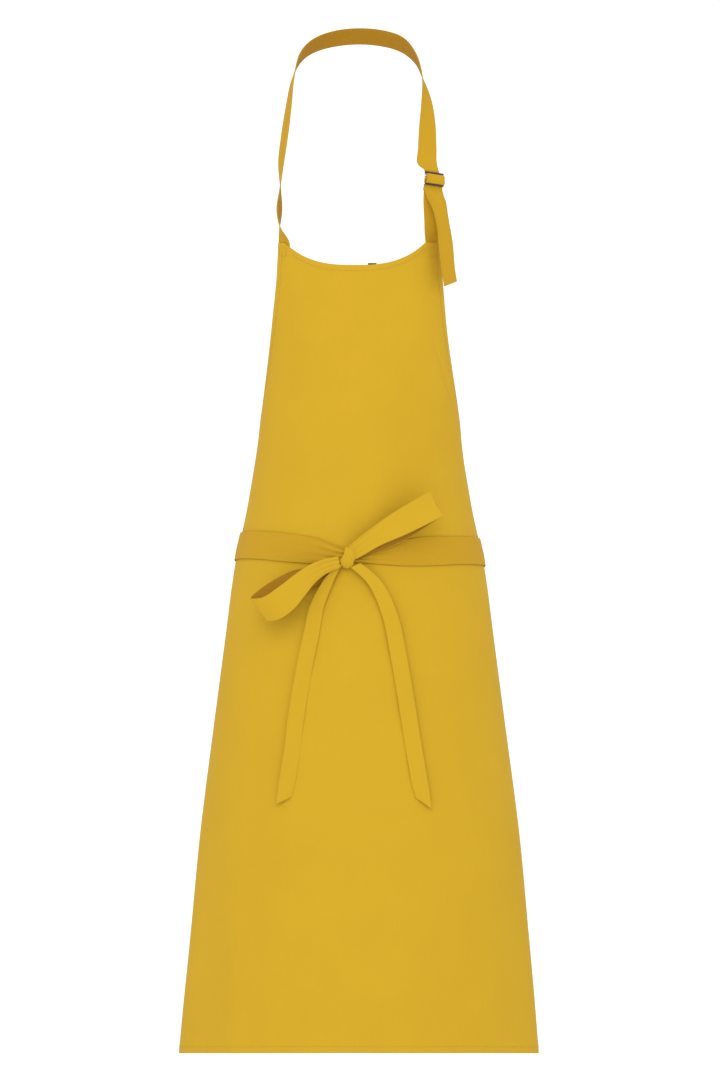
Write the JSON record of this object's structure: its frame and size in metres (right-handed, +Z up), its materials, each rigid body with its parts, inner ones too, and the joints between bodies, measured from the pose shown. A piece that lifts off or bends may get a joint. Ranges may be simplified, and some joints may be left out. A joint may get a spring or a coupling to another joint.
{
  "type": "bib apron",
  "caption": "Full-length woven cotton bib apron, worn: adjustable neck strap with a metal slider, and waist ties crossed behind and tied in a front bow.",
  "frame": {"origin": "the middle of the neck strap, where it rests behind the wearer's neck", "axes": "+Z up, along the apron's length; -Y to the apron's front; +X to the wearer's left, where the slider is"},
  "size_m": [0.3988, 0.2656, 1.1406],
  "materials": {
    "cotton": "matt fine twill, mustard yellow",
    "thread": "matt sewing thread, mustard yellow",
    "nickel": "nickel plate, satin",
    "label_black": "woven ribbon, black, blank",
    "label_white": "satin ribbon, white, blank"
  },
  "bodies": {
    "apron": {"apron_panel": "cotton", "neck_facing": "cotton", "strap_end_left": "cotton", "strap_end_right": "cotton", "waist_tie_left": "cotton", "waist_tie_right": "cotton", "bow_knot": "cotton", "strap_stitching_left": "thread", "strap_stitching_right": "thread", "tie_tack_left": "thread", "tie_tack_right": "thread", "armhole_stitching_left": "thread", "armhole_stitching_right": "thread", "side_stitching_left": "thread", "side_stitching_right": "thread", "bottom_stitching": "thread", "neckline_stitching": "thread"},
    "neck_loop": {"neck_strap": "cotton", "strap_anchor": "cotton"},
    "slider": {"strap_slider": "nickel"},
    "strap_tail": {"strap_tail": "cotton"},
    "tail_end": {"strap_tail_end": "cotton"},
    "loop_left": {"bow_loop_left": "cotton"},
    "loop_right": {"bow_loop_right": "cotton"},
    "tail_left": {"bow_tail_left": "cotton"},
    "tail_right": {"bow_tail_right": "cotton"},
    "neck_tab": {"neck_label": "label_black"},
    "care_tab": {"care_label": "label_white"}
  },
  "joints": [
    {"name": "neck_loop_fold", "type": "hinge", "parent": "apron", "child": "neck_loop", "pos_m": [0, -0.1425, -0.231], "axis": [1, 0, 0], "range_deg": [0, 100]},
    {"name": "strap_tail_hang", "type": "hinge", "parent": "neck_loop", "child": "strap_tail", "pos_m": [0.08151, -0.1374, -0.16999], "axis": [0.989, 0, -0.1478], "range_deg": [-100, 0]},
    {"name": "strap_pull", "type": "slide", "parent": "strap_tail", "child": "tail_end", "axis": [0.1412, -0.0605, -0.9881], "range_m": [0, 0.05]},
    {"name": "slider_tilt", "type": "hinge", "parent": "neck_loop", "child": "slider", "pos_m": [0.083, -0.14, -0.16], "axis": [0.989, 0, -0.1478], "range_deg": [-8, 8]},
    {"name": "bow_loop_left_lift", "type": "hinge", "parent": "apron", "child": "loop_left", "pos_m": [-0.0245, -0.173, -0.5905], "axis": [-0.4813, 0, 0.8765], "range_deg": [0, 40]},
    {"name": "bow_loop_right_lift", "type": "hinge", "parent": "apron", "child": "loop_right", "pos_m": [0.0022, -0.173, -0.569], "axis": [0.4977, 0, -0.8673], "range_deg": [0, 40]},
    {"name": "bow_tail_left_swing", "type": "hinge", "parent": "apron", "child": "tail_left", "pos_m": [-0.0235, -0.178, -0.604], "axis": [-1, 0, 0], "range_deg": [0, 45]},
    {"name": "bow_tail_right_swing", "type": "hinge", "parent": "apron", "child": "tail_right", "pos_m": [0.002, -0.181, -0.6], "axis": [-1, 0, 0], "range_deg": [0, 60]},
    {"name": "neck_label_flip", "type": "hinge", "parent": "apron", "child": "neck_tab", "pos_m": [0.01423, -0.16201, -0.2552], "axis": [1, 0, 0], "range_deg": [0, 120]},
    {"name": "care_label_flip", "type": "hinge", "parent": "apron", "child": "care_tab", "pos_m": [-0.13441, 0.01021, -0.76], "axis": [-0.6257, -0.7801, 0], "range_deg": [0, 100]}
  ],
  "couplings": [
    {"joint": "strap_tail_hang", "follows": "neck_loop_fold", "ratio": -1}
  ]
}
